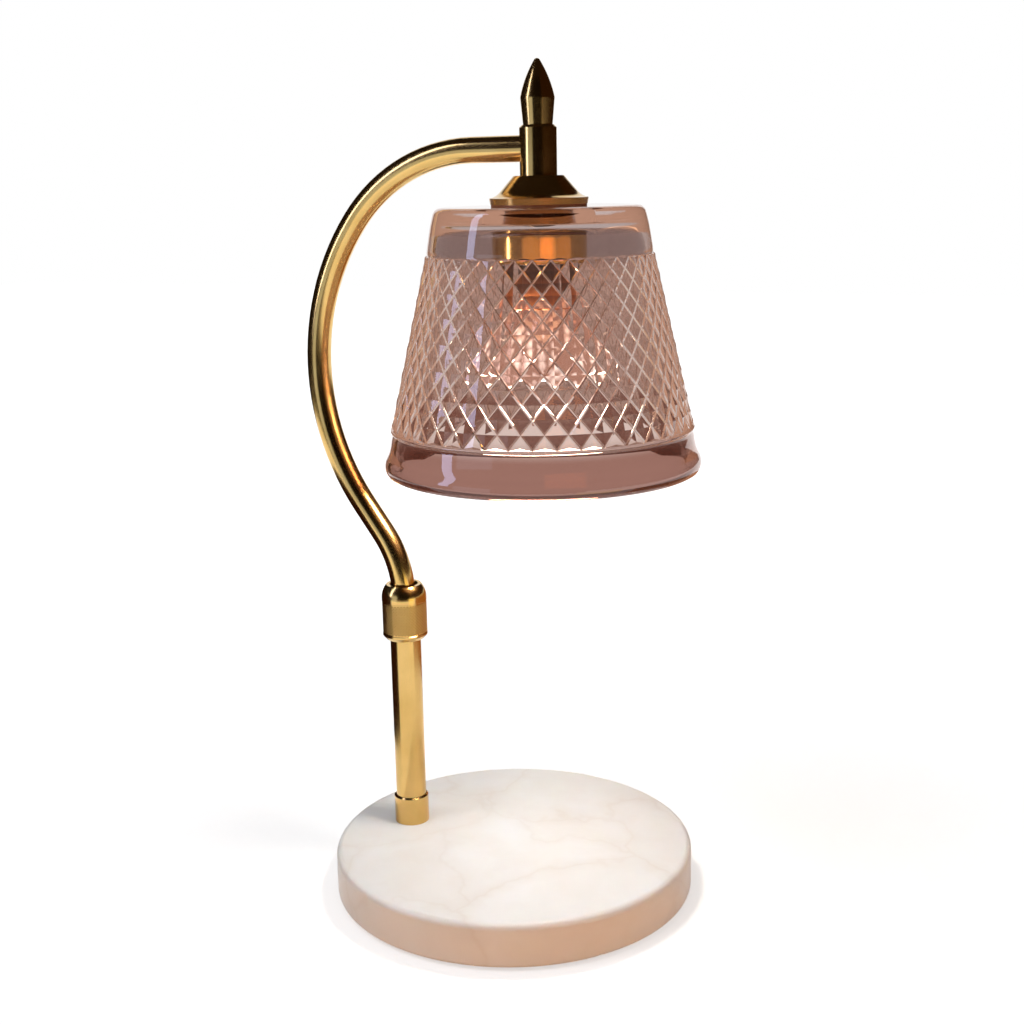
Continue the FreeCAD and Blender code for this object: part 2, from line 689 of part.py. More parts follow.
def glass_shade():
    """Pressed-glass shade. The diamond pattern lies on the cone between the step and the band."""
    return turned(HEAD_X, [(GLASS_HOLE_R, GLASS_TOP), (SHADE_TOP_EDGE_R, GLASS_TOP),
                           ((40.0, 281.4), SHADE_SHOULDER), SHADE_NECK, SHADE_STEP_TOP,
                           SHADE_STEP_LOW, SHADE_BAND_TOP, SHADE_BAND_NOTCH, SHADE_BAND_MIDDLE,
                           ((61.5, 186.8), SHADE_FLARE), SHADE_RIM_OUTER,
                           ((61.6, 180.9), SHADE_RIM_LOW), ((58.9, 180.9), SHADE_RIM_INNER),
                           SHADE_INSIDE_TOP, ((38.6, 274.4), SHADE_INSIDE_CORNER),
                           (GLASS_HOLE_R, PLATE_LOW)])


def bulb_base():
    """Ceramic neck of the lamp, flattened on two sides."""
    body = cylinder(LAMP_BASE_R, LAMP_BASE_LOW, LAMP_REAR, HEAD_X)
    flats = Part.makeBox(4 * LAMP_BASE_R, 2 * LAMP_BASE_FLAT, LAMP_REAR - LAMP_BASE_LOW,
                         Vector(HEAD_X - 2 * LAMP_BASE_R, -LAMP_BASE_FLAT, LAMP_BASE_LOW))
    return body.common(flats)


def bulb_pins():
    pins = []
    for side in (-1, 1):
        x = HEAD_X + side * SLOT_RADIUS
        neck = cylinder(PIN_NECK_R, LAMP_REAR, PIN_NECK_TOP, x)
        head = cylinder(PIN_HEAD_R, PIN_NECK_TOP, PIN_HEAD_TOP, x)
        rims = [edge for edge in head.Edges if edge.BoundBox.ZMin > PIN_HEAD_TOP - 0.1]
        pins.append(neck.fuse(head.makeChamfer(0.5, rims)).removeSplitter())
    return Part.makeCompound(pins)


def bulb_reflector():
    """Deep glass reflector, open at the front where the lens closes it."""
    rim = (LAMP_R, REFLECTOR_LOW)
    neck = REFLECTOR_NECK
    inner_rim = (LAMP_R - REFLECTOR_WALL, REFLECTOR_LOW)
    inner_middle = (REFLECTOR_MIDDLE[0] - 1.1, REFLECTOR_MIDDLE[1] - 0.8)
    inner_neck = (neck[0] - REFLECTOR_WALL, neck[1])
    return turned(HEAD_X, [rim, (LAMP_R, REFLECTOR_LOW + 1.5), (REFLECTOR_MIDDLE, neck), inner_neck,
                           (inner_middle, inner_rim)])


def bulb_lens():
    """Front glass, a little crowned."""
    edge = LAMP_FRONT + LENS_CROWN
    return turned(HEAD_X, [(0, REFLECTOR_LOW), (LAMP_R, REFLECTOR_LOW), (LAMP_R, edge),
                           dome(LAMP_R, edge, LAMP_FRONT)])


def bulb_capsule():
    """Inner quartz capsule with its pinched stem on the lamp's neck."""
    inner_r = CAPSULE_R - CAPSULE_WALL
    top = LAMP_BASE_LOW
    shoulder = CAPSULE_LOW + CAPSULE_R
    inner_low = CAPSULE_LOW + CAPSULE_WALL
    arc_r = CAPSULE_R * math.sqrt(0.5)
    inner_arc = inner_r * math.sqrt(0.5)
    return turned(HEAD_X, [(0, CAPSULE_LOW),
                           ((arc_r, shoulder - arc_r), (CAPSULE_R, shoulder)),
                           (CAPSULE_R, top), (0, top), (0, top - 4.0), (inner_r, top - 4.0),
                           (inner_r, shoulder),
                           ((inner_arc, shoulder - inner_arc), (0, inner_low))])


def bulb_filament():
    """Coiled filament that stands on the lamp's axis inside the capsule."""
    pitch = (FILAMENT_TOP - FILAMENT_LOW) / FILAMENT_TURNS
    helix = Part.makeHelix(pitch, FILAMENT_TOP - FILAMENT_LOW, FILAMENT_R)
    start = Vector(FILAMENT_R, 0, 0)
    climb = pitch / (2 * math.pi)
    section = Part.Wire(Part.makeCircle(FILAMENT_WIRE_R, start, Vector(0, FILAMENT_R, climb)))
    coil = Part.Wire(helix.Edges).makePipeShell([section], True, True)
    coil.translate(Vector(HEAD_X, 0, FILAMENT_LOW))
    return coil


NODES = [
    marble_base, base_pad, cord_grommet, base_lead, base_washer, base_lock_washer, base_nut,
    post_nipple, foot_ferrule, post_tube, collet_sleeve, collet, thrust_washer, clamp_collar,
    slide_bush, arm_end_ring, arm_tube, arm_lead, head_tube, head_plug, finial, cap, head_nipple,
    cap_nut, holder_spacer, holder_shell, holder_bracket, holder_lock_washer, holder_nut,
    socket_insert, socket_screws, socket_contacts, lead_cores, cap_gasket, ring_gasket, shade_ring,
    glass_shade, bulb_base, bulb_pins, bulb_reflector, bulb_lens, bulb_capsule, bulb_filament,
]

os.makedirs("parts", exist_ok=True)
for make in NODES:
    shape = make()
    box = shape.BoundBox
    print("%-20s valid %s solids %d volume %.0f  x %.1f..%.1f  y %.1f..%.1f  z %.1f..%.1f" % (
        make.__name__, shape.isValid(), len(shape.Solids), shape.Volume,
        box.XMin, box.XMax, box.YMin, box.YMax, box.ZMin, box.ZMax))
    shape.exportStep("parts/%s.step" % make.__name__)
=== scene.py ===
import bmesh
import bpy
import json
import math
from mathutils import Euler, Matrix, Vector


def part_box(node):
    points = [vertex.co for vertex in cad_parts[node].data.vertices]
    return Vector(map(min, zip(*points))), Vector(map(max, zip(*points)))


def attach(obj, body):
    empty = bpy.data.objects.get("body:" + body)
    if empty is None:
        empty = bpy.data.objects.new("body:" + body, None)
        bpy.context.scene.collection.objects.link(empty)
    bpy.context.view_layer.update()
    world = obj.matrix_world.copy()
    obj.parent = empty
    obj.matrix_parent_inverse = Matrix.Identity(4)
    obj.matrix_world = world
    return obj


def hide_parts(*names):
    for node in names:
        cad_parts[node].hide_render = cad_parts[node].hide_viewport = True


# Candle warmer lamp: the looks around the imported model. Metres, in the model's own frame.

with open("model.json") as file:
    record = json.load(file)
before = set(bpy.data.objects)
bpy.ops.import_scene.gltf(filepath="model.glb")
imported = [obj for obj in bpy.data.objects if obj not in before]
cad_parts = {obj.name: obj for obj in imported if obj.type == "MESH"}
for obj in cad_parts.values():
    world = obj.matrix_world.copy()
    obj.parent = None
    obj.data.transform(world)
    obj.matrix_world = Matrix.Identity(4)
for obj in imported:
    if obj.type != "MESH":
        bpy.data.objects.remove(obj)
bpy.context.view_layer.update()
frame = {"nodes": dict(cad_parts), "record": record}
nodes = frame["nodes"]
MM = 0.001

# Places taken from the model
GLASS_LOW, GLASS_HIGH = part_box("glass_shade")
LENS_LOW, LENS_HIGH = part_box("bulb_lens")
COLLAR_LOW, COLLAR_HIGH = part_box("clamp_collar")
RING_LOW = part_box("shade_ring")[0]
HEAD_X = (GLASS_LOW.x + GLASS_HIGH.x) / 2
POST_X = (COLLAR_LOW.x + COLLAR_HIGH.x) / 2

# Camera: the photograph's viewpoint, worked out from the outline of the base, post and shade
CAMERA_PLACE = Vector((0.2410, -0.5162, 0.2934))
CAMERA_AZIMUTH = 24.83
CAMERA_DOWN = 13.06
CAMERA_ROLL = -1.133
PHOTO_PIXELS = 1024
FOCAL_PIXELS = 1448.45
SENSOR = 36.0
NEAREST_SEEN = 0.01
FARTHEST_SEEN = 20.0

# Bounces inside the glass after which a ray counts as lost
LOST_AFTER = 2.5

# Heights of the lamp's glow, in metres: the reflector's neck above its front, and its ceramic foot
REFLECTOR_DEPTH = 30 * MM
LAMP_FOOT_LOW = 245 * MM
LAMP_FOOT_HIGH = 262 * MM


def make_camera():
    data = bpy.data.cameras.new("camera")
    data.sensor_width = SENSOR
    data.lens = SENSOR * FOCAL_PIXELS / PHOTO_PIXELS
    data.clip_start = NEAREST_SEEN
    data.clip_end = FARTHEST_SEEN
    camera = bpy.data.objects.new("camera", data)
    aim = Euler((math.radians(90 - CAMERA_DOWN), 0, math.radians(CAMERA_AZIMUTH))).to_matrix().to_4x4()
    roll = Matrix.Rotation(math.radians(CAMERA_ROLL), 4, "Z")
    camera.matrix_world = Matrix.Translation(CAMERA_PLACE) @ aim @ roll
    bpy.context.collection.objects.link(camera)
    bpy.context.scene.camera = camera


def linear(hex_colour):
    """sRGB hex such as "#c8a060" to linear RGBA."""
    values = [int(hex_colour[i:i + 2], 16) / 255 for i in (1, 3, 5)]
    rgb = [v / 12.92 if v <= 0.04045 else ((v + 0.055) / 1.055) ** 2.4 for v in values]
    return (*rgb, 1.0)


def add(tree, kind, settings=None, links=None, stops=None, **properties):
    """Adds one node. Properties are its own, settings fill its sockets, links join its sockets to a
    node's first output or to a named one, and stops are a colour ramp's places and hex colours."""
    node = tree.nodes.new(kind)
    for name, value in properties.items():
        setattr(node, name, value)
    for name, value in (settings or {}).items():
        node.inputs[name].default_value = value
    for name, source in (links or {}).items():
        output = source if isinstance(source, bpy.types.NodeSocket) else source.outputs[0]
        tree.links.new(output, node.inputs[name])
    if stops:
        elements = node.color_ramp.elements
        while len(elements) < len(stops):
            elements.new(0.5)
        for element, (position, colour) in zip(elements, stops):
            element.position = position
            element.color = linear(colour)
    return node


def new_material(name):
    """Empty node material with its output and object coordinates in metres."""
    material = bpy.data.materials.new(name)
    material.use_nodes = True
    tree = material.node_tree
    tree.nodes.clear()
    output = add(tree, "ShaderNodeOutputMaterial")
    place = add(tree, "ShaderNodeTexCoord").outputs["Object"]
    return material, tree, output, place


def lacquered_brass():
    """Turned and bent brass, polished, then lacquered: a clear golden mirror with a faint haze,
    a little orange peel in the lacquer and fine draw lines."""
    material, tree, output, place = new_material("lacquered_brass")
    haze = add(tree, "ShaderNodeTexNoise", {"Scale": 1 / (14 * MM), "Detail": 4.0}, {"Vector": place})
    peel = add(tree, "ShaderNodeTexNoise", {"Scale": 1 / (1.6 * MM), "Detail": 2.0}, {"Vector": place})
    ripple = add(tree, "ShaderNodeBump", {"Distance": 0.004 * MM, "Strength": 0.5}, {"Height": peel})
    gold = add(tree, "ShaderNodeValToRGB", links={"Fac": haze},
               stops=[(0.3, "#d4ac62"), (0.7, "#e2bc74")])
    rough = add(tree, "ShaderNodeMapRange", {"To Min": 0.15, "To Max": 0.23}, {"Value": haze})
    shader = add(tree, "ShaderNodeBsdfPrincipled",
                 {"Metallic": 1.0, "Coat Weight": 0.25, "Coat Roughness": 0.08},
                 {"Base Color": gold, "Roughness": rough, "Normal": ripple})
    tree.links.new(shader.outputs[0], output.inputs["Surface"])
    return material


def knurled_brass():
    """The collar's grip band, rolled with a fine diamond knurl: the same brass, matt from its facets."""
    material, tree, output, place = new_material("knurled_brass")
    grain = add(tree, "ShaderNodeTexNoise", {"Scale": 1 / (0.6 * MM), "Detail": 3.0}, {"Vector": place})
    gold = add(tree, "ShaderNodeValToRGB", links={"Fac": grain},
               stops=[(0.25, "#b98c4a"), (0.75, "#dcb068")])
    rough = add(tree, "ShaderNodeMapRange", {"To Min": 0.26, "To Max": 0.36}, {"Value": grain})
    shader = add(tree, "ShaderNodeBsdfPrincipled", {"Metallic": 1.0},
                 {"Base Color": gold, "Roughness": rough})
    tree.links.new(shader.outputs[0], output.inputs["Surface"])
    return material


def zinc_steel():
    """Zinc-plated steel hardware: grey, with a soft spangle."""
    material, tree, output, place = new_material("zinc_steel")
    spangle = add(tree, "ShaderNodeTexNoise", {"Scale": 1 / (2.5 * MM), "Detail": 3.0}, {"Vector": place})
    grey = add(tree, "ShaderNodeValToRGB", links={"Fac": spangle},
               stops=[(0.3, "#9c9d9d"), (0.7, "#bdbdba")])
    rough = add(tree, "ShaderNodeMapRange", {"To Min": 0.3, "To Max": 0.45}, {"Value": spangle})
    shader = add(tree, "ShaderNodeBsdfPrincipled", {"Metallic": 1.0},
                 {"Base Color": grey, "Roughness": rough})
    tree.links.new(shader.outputs[0], output.inputs["Surface"])
    return material


def white_marble():
    """Honed white marble: a milky stone with faint warm veins, a few millimetres of glow below the
    surface, and a soft sheen."""
    material, tree, output, place = new_material("white_marble")
    drift = add(tree, "ShaderNodeTexNoise", {"Scale": 1 / (55 * MM), "Detail": 4.0, "Roughness": 0.55},
                {"Vector": place})
    push = add(tree, "ShaderNodeVectorMath", {"Scale": 55 * MM}, {0: drift.outputs["Color"]},
               operation="SCALE")
    warped = add(tree, "ShaderNodeVectorMath", links={0: place, 1: push}, operation="ADD")
    veins = add(tree, "ShaderNodeTexVoronoi", {"Scale": 1 / (70 * MM)}, {"Vector": warped},
                feature="DISTANCE_TO_EDGE")
    vein_tone = add(tree, "ShaderNodeValToRGB", links={"Fac": veins},
                    stops=[(0.0, "#e2d6c8"), (0.02, "#f0ebe4"), (0.09, "#f9f8f6")])
    drifts = add(tree, "ShaderNodeTexNoise", {"Scale": 1 / (30 * MM), "Detail": 5.0}, {"Vector": warped})
    cloud = add(tree, "ShaderNodeValToRGB", links={"Fac": drifts},
                stops=[(0.3, "#f2efea"), (0.62, "#f6f5f2")])
    fade = add(tree, "ShaderNodeTexNoise", {"Scale": 1 / (40 * MM), "Detail": 2.0}, {"Vector": place})
    weight = add(tree, "ShaderNodeMapRange", {"To Min": 0.0, "To Max": 0.5}, {"Value": fade})
    stone = add(tree, "ShaderNodeMix", links={"Factor": weight, "A": cloud, "B": vein_tone},
                data_type="RGBA", blend_type="MULTIPLY")
    grain = add(tree, "ShaderNodeTexNoise", {"Scale": 1 / (0.8 * MM), "Detail": 2.0}, {"Vector": place})
    rough = add(tree, "ShaderNodeMapRange", {"To Min": 0.28, "To Max": 0.4}, {"Value": grain})
    pores = add(tree, "ShaderNodeBump", {"Distance": 0.01 * MM, "Strength": 0.4}, {"Height": grain})
    shader = add(tree, "ShaderNodeBsdfPrincipled",
                 {"Subsurface Weight": 0.25, "Subsurface Radius": (1.0, 0.8, 0.6),
                  "Subsurface Scale": 3 * MM, "IOR": 1.5},
                 {"Base Color": stone.outputs["Result"], "Roughness": rough, "Normal": pores})
    tree.links.new(shader.outputs[0], output.inputs["Surface"])
    return material


def smoky_glass():
    """Pressed soda-lime glass, tinted smoky pink-brown, with painted shade that darkens its lower band:
    clear facets with fire-polished faces.
    Light from the lamp is let through where the renderer would otherwise block it, and a ray that has
    bounced about inside the glass ends in a painted glow, the colour that such light has in a thick edge."""
    material, tree, output, place = new_material("smoky_glass")
    ripple = add(tree, "ShaderNodeTexNoise", {"Scale": 1 / (7 * MM), "Detail": 2.0}, {"Vector": place})
    polish = add(tree, "ShaderNodeBump", {"Distance": 0.03 * MM, "Strength": 0.6}, {"Height": ripple})
    height = add(tree, "ShaderNodeSeparateXYZ", links={0: place}).outputs["Z"]
    along = add(tree, "ShaderNodeMapRange", {"From Min": GLASS_LOW.z, "From Max": GLASS_HIGH.z},
                {"Value": height})
    # Painted shade: the glass is darker in the lower band than in the pattern above it, over its own
    # smoky tint
    tint_and_painted_shade = add(tree, "ShaderNodeValToRGB", links={"Fac": along},
               stops=[(0.13, "#8f675c"), (0.2, "#c5afa6"), (0.78, "#c5afa6"), (0.84, "#b5a39f")])
    shader = add(tree, "ShaderNodeBsdfPrincipled",
                 {"Transmission Weight": 1.0, "Roughness": 0.02, "IOR": 1.5},
                 {"Base Color": tint_and_painted_shade, "Normal": polish})
    clear = add(tree, "ShaderNodeBsdfTransparent", {"Color": linear("#c9aa9c")})
    path = add(tree, "ShaderNodeLightPath")
    lost = add(tree, "ShaderNodeMath", {1: LOST_AFTER}, {0: path.outputs["Glossy Depth"]},
               operation="GREATER_THAN")
    # Painted light: the glass glows this colour where a ray has bounced about inside it
    painted_edge_glow = add(tree, "ShaderNodeEmission", {"Color": linear("#dcae94"), "Strength": 1.0})
    glass = add(tree, "ShaderNodeMixShader", links={0: lost, 1: shader, 2: painted_edge_glow})
    mix = add(tree, "ShaderNodeMixShader", links={0: path.outputs["Is Shadow Ray"], 1: glass, 2: clear})
    tree.links.new(mix.outputs[0], output.inputs["Surface"])
    return material


def lamp_front_glass():
    """Front glass of the lit lamp: clear glass that glows warm white from the burner behind it."""
    material, tree, output, place = new_material("lamp_front_glass")
    mottle = add(tree, "ShaderNodeTexNoise", {"Scale": 1 / (3 * MM), "Detail": 2.0}, {"Vector": place})
    glass = add(tree, "ShaderNodeValToRGB", links={"Fac": mottle},
                stops=[(0.2, "#fff2dc"), (0.8, "#fffaf0")])
    glow = add(tree, "ShaderNodeValToRGB", links={"Fac": mottle},
               stops=[(0.2, "#ffeedd"), (0.8, "#fff8ee")])
    shader = add(tree, "ShaderNodeBsdfPrincipled",
                 {"Transmission Weight": 0.4, "Roughness": 0.15, "Emission Strength": 11.0},
                 {"Base Color": glass, "Emission Color": glow})
    tree.links.new(shader.outputs[0], output.inputs["Surface"])
    return material


def lamp_reflector_glass():
    """Deep glass reflector with a thin mirror coat, which lets some orange light through its back.
    Its glow also holds a painted white highlight towards the front and painted glints in dimple cells.
    """
    material, tree, output, place = new_material("lamp_reflector_glass")
    height = add(tree, "ShaderNodeSeparateXYZ", links={0: place}).outputs["Z"]
    up = add(tree, "ShaderNodeMapRange",
             {"From Min": LENS_HIGH.z, "From Max": LENS_HIGH.z + REFLECTOR_DEPTH}, {"Value": height})
    # Painted light: white towards the front as a painted highlight, orange at the neck for the light
    # through the coat
    glow = add(tree, "ShaderNodeValToRGB", links={"Fac": up},
               stops=[(0.0, "#ffffff"), (0.45, "#f6e8dc"), (0.66, "#cc9c80"), (0.82, "#b05c28"),
                      (1.0, "#7a3a14")])
    dimples = add(tree, "ShaderNodeTexVoronoi", {"Scale": 1 / (4.5 * MM)}, {"Vector": place},
                  feature="SMOOTH_F1")
    relief = add(tree, "ShaderNodeBump", {"Distance": 0.9 * MM, "Strength": 0.8}, {"Height": dimples})
    # Painted glints: the dimple cells brighten and darken the glow
    painted_glint_cells = add(tree, "ShaderNodeValToRGB", links={"Fac": dimples},
                  stops=[(0.12, "#ffffff"), (0.42, "#6c5046")])
    painted_glint_glow = add(tree, "ShaderNodeMix", {"Factor": 1.0}, {"A": glow, "B": painted_glint_cells},
                  data_type="RGBA", blend_type="MULTIPLY")
    shader = add(tree, "ShaderNodeBsdfPrincipled",
                 {"Base Color": linear("#e9e4e0"), "Metallic": 0.85, "Roughness": 0.1,
                  "Emission Strength": 2.5},
                 {"Emission Color": painted_glint_glow.outputs["Result"], "Normal": relief})
    tree.links.new(shader.outputs[0], output.inputs["Surface"])
    return material


def lamp_base_ceramic():
    """Glazed ceramic foot of the lamp, warm where light leaks into it from the reflector's neck.
    Its colour is painted lighter low down, near the neck, and painted shade darkens it up under the
    holder.
    """
    material, tree, output, place = new_material("lamp_base_ceramic")
    height = add(tree, "ShaderNodeSeparateXYZ", links={0: place}).outputs["Z"]
    up = add(tree, "ShaderNodeMapRange", {"From Min": LAMP_FOOT_LOW, "From Max": LAMP_FOOT_HIGH},
             {"Value": height})
    # Painted light and shade: lighter near the reflector's neck, darker up under the holder; the glow
    # below is painted leak light
    glaze_and_painted_shade = add(tree, "ShaderNodeValToRGB", links={"Fac": up},
                stops=[(0.0, "#b07a50"), (0.5, "#6a4830"), (1.0, "#3a281c")])
    glow = add(tree, "ShaderNodeValToRGB", links={"Fac": up},
               stops=[(0.0, "#c86018"), (0.3, "#6a2e0c"), (0.6, "#1a0c04")])
    shader = add(tree, "ShaderNodeBsdfPrincipled", {"Roughness": 0.3, "Emission Strength": 0.45},
                 {"Base Color": glaze_and_painted_shade, "Emission Color": glow})
    tree.links.new(shader.outputs[0], output.inputs["Surface"])
    return material


def burner_quartz():
    """Quartz burner capsule, lit."""
    material, tree, output, place = new_material("burner_quartz")
    haze = add(tree, "ShaderNodeTexNoise", {"Scale": 1 / (2 * MM), "Detail": 1.0}, {"Vector": place})
    rough = add(tree, "ShaderNodeMapRange", {"To Min": 0.02, "To Max": 0.12}, {"Value": haze})
    glow = add(tree, "ShaderNodeValToRGB", links={"Fac": haze},
               stops=[(0.2, "#ffdca8"), (0.8, "#fff0d4")])
    shader = add(tree, "ShaderNodeBsdfPrincipled",
                 {"Base Color": linear("#fff6e6"), "Transmission Weight": 0.8, "Emission Strength": 4.0},
                 {"Roughness": rough, "Emission Color": glow})
    tree.links.new(shader.outputs[0], output.inputs["Surface"])
    return material


def dull(name, low, high, grain_mm, rough_low, rough_high, depth_mm=0.02):
    """Plain matt stuff whose colour and gloss drift over grain_mm: plastics, rubber and ceramic."""
    material, tree, output, place = new_material(name)
    grain = add(tree, "ShaderNodeTexNoise", {"Scale": 1 / (grain_mm * MM), "Detail": 4.0},
                {"Vector": place})
    colour = add(tree, "ShaderNodeValToRGB", links={"Fac": grain}, stops=[(0.3, low), (0.7, high)])
    rough = add(tree, "ShaderNodeMapRange", {"To Min": rough_low, "To Max": rough_high},
                {"Value": grain})
    skin = add(tree, "ShaderNodeBump", {"Distance": depth_mm * MM, "Strength": 0.6},
               {"Height": grain})
    shader = add(tree, "ShaderNodeBsdfPrincipled", {"IOR": 1.5},
                 {"Base Color": colour, "Roughness": rough, "Normal": skin})
    tree.links.new(shader.outputs[0], output.inputs["Surface"])
    return material


def paint_nodes():
    """Gives every node of the model the finish its material slot names."""
    finishes = {
        "brass": lacquered_brass(),
        "zinc_plated_steel": zinc_steel(),
        "white_marble": white_marble(),
        "foam_pad": dull("foam_rubber", "#1c1b1a", "#2c2a28", 1.2, 0.85, 0.95, 0.1),
        "grommet_plastic": dull("moulded_nylon_cream", "#cfc8b8", "#ddd7c9", 2.0, 0.4, 0.5),
        "lead_sheath": dull("soft_pvc_cream", "#d6d0c2", "#e4dfd3", 3.0, 0.35, 0.5),
        "core_insulation": dull("pvc_brown", "#5a3016", "#6e3c1c", 2.0, 0.35, 0.5),
        "nylon": dull("natural_nylon", "#e2dfd4", "#eeece4", 2.0, 0.4, 0.55),
        "silicone": dull("silicone_rubber_amber", "#7c4c2c", "#8e5c36", 1.5, 0.4, 0.55),
        "white_ceramic": dull("steatite_ceramic", "#e6e2d8", "#f1eee7", 1.0, 0.45, 0.6, 0.03),
        "smoky_glass": smoky_glass(),
        "mirror_coat": lamp_reflector_glass(),
        "clear_glass": burner_quartz(),
    }
    for part in frame["record"]["subparts"]:
        node = nodes[part["node"]]
        node.data.materials.clear()
        node.data.materials.append(finishes[part["material_slot"]])
    nodes["bulb_lens"].data.materials[0] = lamp_front_glass()
    nodes["bulb_base"].data.materials[0] = lamp_base_ceramic()
    return finishes


def mesh_object(name, points, faces, material, smooth):
    """New mesh object with its faces turned outwards, all smooth or all flat."""
    mesh = bpy.data.meshes.new(name)
    mesh.from_pydata(points, [], faces)
    mesh.update()
    work = bmesh.new()
    work.from_mesh(mesh)
    bmesh.ops.recalc_face_normals(work, faces=work.faces)
    for face in work.faces:
        face.smooth = smooth
    work.to_mesh(mesh)
    work.free()
    mesh.materials.append(material)
    made = bpy.data.objects.new(name, mesh)
    bpy.context.collection.objects.link(made)
    return made


# The shade's outline from the top hole round the outside to the rim, and back up the inside,
# as (radius, height) in millimetres above the foot of the model
SHADE_OUTSIDE_TOP = [(14.5, 276.5), (14.5, 281.6), (14.6, 281.95), (15.0, 282.1), (15.4, 282.1),
                     (36.9, 282.1), (37.4, 282.1), (38.9, 281.75), (39.9, 281.0), (40.5, 280.0),
                     (41.0, 278.2), (41.7, 275.4), (42.5, 271.0), (43.2, 266.6), (43.35, 265.3)]
SHADE_OUTSIDE_LOW = [(59.2, 198.0), (59.5, 197.7), (59.6, 197.3), (59.4, 196.9), (59.0, 196.6),
                     (58.95, 196.2), (59.2, 195.2), (59.6, 192.5), (60.2, 189.6), (61.0, 187.4),
                     (61.8, 186.0), (62.2, 184.6), (62.3, 183.2), (62.1, 181.9), (61.5, 180.9),
                     (60.6, 180.4), (59.9, 180.3), (59.2, 180.5), (58.6, 181.1), (58.3, 182.2)]
SHADE_INSIDE = [(57.6, 185.5), (55.6, 195.0), (51.4, 215.0), (47.2, 235.0), (43.1, 255.0),
                (40.4, 268.0), (40.0, 269.4), (39.6, 271.3), (38.9, 273.2), (37.8, 274.7),
                (36.3, 275.7), (34.8, 276.0), (34.2, 276.0), (15.5, 276.0), (15.0, 276.0),
                (14.6, 276.15)]
PATTERN_TOP = (43.2, 264.2)
PATTERN_LOW = (58.3, 198.1)
PATTERN_COLUMNS = 42
PATTERN_HALF_ROWS = 14
PATTERN_TURN = 2.87
PYRAMID_HEIGHT = 1.0
GROOVE_SHARE = 0.16
GROOVE_HEIGHT = 0.52

# The collar's knurl, in millimetres: rolled teeth about 1.3 mm apart, in a band of the collar
KNURL_COLUMNS = 44
KNURL_HALF_ROWS = 20
KNURL_TOOTH = 0.16
KNURL_LOW = 2.7
KNURL_HIGH = 16.3
KNURL_R = 9.28
KNURL_INNER_R = 9.0


def ring_of(radius, height, count):
    """Points round the shade's axis, in metres, the first at the pattern's turn."""
    ring = []
    for index in range(count):
        angle = 2 * math.pi * index / count + math.radians(PATTERN_TURN)
        reach = radius * MM
        ring.append((HEAD_X + reach * math.cos(angle), reach * math.sin(angle), height * MM))
    return ring


def band_between(first, second, count):
    """Quads between two closed rings of point numbers that start at first and second."""
    faces = []
    for index in range(count):
        after = (index + 1) % count
        faces.append((first + index, first + after, second + after, second + index))
    return faces


def fine_to_coarse(fine, coarse, count):
    """Triangles between a ring of twice count points and one of count points."""
    faces = []
    for index in range(count):
        after = (index + 1) % count
        middle = fine + 2 * index + 1
        faces.append((fine + 2 * index, middle, coarse + index))
        faces.append((middle, fine + 2 * after, coarse + after))
        faces.append((middle, coarse + after, coarse + index))
    return faces


def pyramid_rows(rings, count):
    """Four-sided pyramids between rows of points, split along the grooves that cross between them."""
    faces = []
    for row, (first, second) in enumerate(zip(rings, rings[1:])):
        for index in range(count):
            after = (index + 1) % count
            corners = (first + index, first + after, second + after, second + index)
            if (row + index) % 2 == 0:
                faces.append((corners[0], corners[1], corners[3]))
                faces.append((corners[1], corners[2], corners[3]))
            else:
                faces.append((corners[0], corners[1], corners[2]))
                faces.append((corners[0], corners[2], corners[3]))
    return faces


def pattern_parts():
    """How far down the pattern each half row ends, as a part of the whole: a row is as tall as the
    shade is wide there."""
    steps = []
    for row in range(PATTERN_HALF_ROWS):
        part = (row + 0.5) / PATTERN_HALF_ROWS
        steps.append(PATTERN_TOP[0] + (PATTERN_LOW[0] - PATTERN_TOP[0]) * part)
    parts = [0.0]
    for step in steps:
        parts.append(parts[-1] + step / sum(steps))
    return parts


PATTERN_PARTS = pattern_parts()


def lattice_point(row, index):
    """Radius, height and angle of a point of the shade's diamond lattice, in the bottom of a groove."""
    share = PATTERN_PARTS[row]
    radius = PATTERN_TOP[0] + (PATTERN_LOW[0] - PATTERN_TOP[0]) * share
    height = PATTERN_TOP[1] + (PATTERN_LOW[1] - PATTERN_TOP[1]) * share
    angle = math.pi * index / PATTERN_COLUMNS + math.radians(PATTERN_TURN)
    return Vector((radius, height, angle))


def on_glass(place, lift=0.0):
    """A lattice place as a point in metres, raised by lift millimetres square to the shade's side."""
    slope = math.atan2(PATTERN_LOW[0] - PATTERN_TOP[0], PATTERN_TOP[1] - PATTERN_LOW[1])
    reach = (place.x + lift * math.cos(slope)) * MM
    height = (place.y + lift * math.sin(slope)) * MM
    return (HEAD_X + reach * math.cos(place.z), reach * math.sin(place.z), height)


